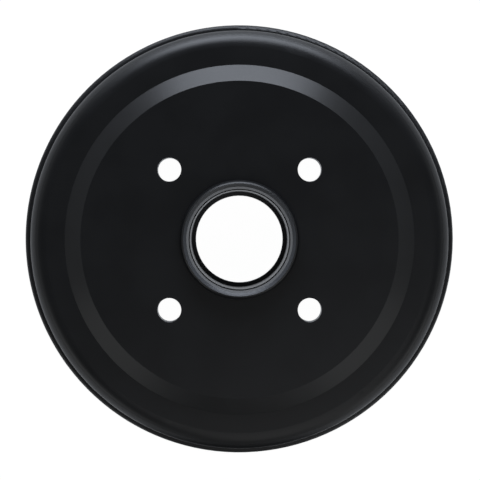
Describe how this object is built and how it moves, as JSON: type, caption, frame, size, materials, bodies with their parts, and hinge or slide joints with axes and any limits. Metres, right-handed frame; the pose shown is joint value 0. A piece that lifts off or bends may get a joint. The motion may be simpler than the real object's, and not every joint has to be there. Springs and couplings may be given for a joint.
{
  "type": "brake drum",
  "caption": "Round cast brake drum with its wheel hub: open rim, dished web with a stepped wheel face, bolt holes, and a collar around a stepped bearing bore.",
  "frame": {"origin": "on the drum's axis, in the plane of the open rim's rear face", "axes": "+Z along the axis from the open rim towards the wheel; +X and +Y lie midway between neighbouring bolt holes"},
  "size_m": [0.2294, 0.2294, 0.065],
  "materials": {
    "iron": "satin black paint outside, turned bare iron on the friction track, rim face and bearing seat"
  },
  "bodies": {
    "root": {"brake_drum": "iron"}
  },
  "joints": []
}
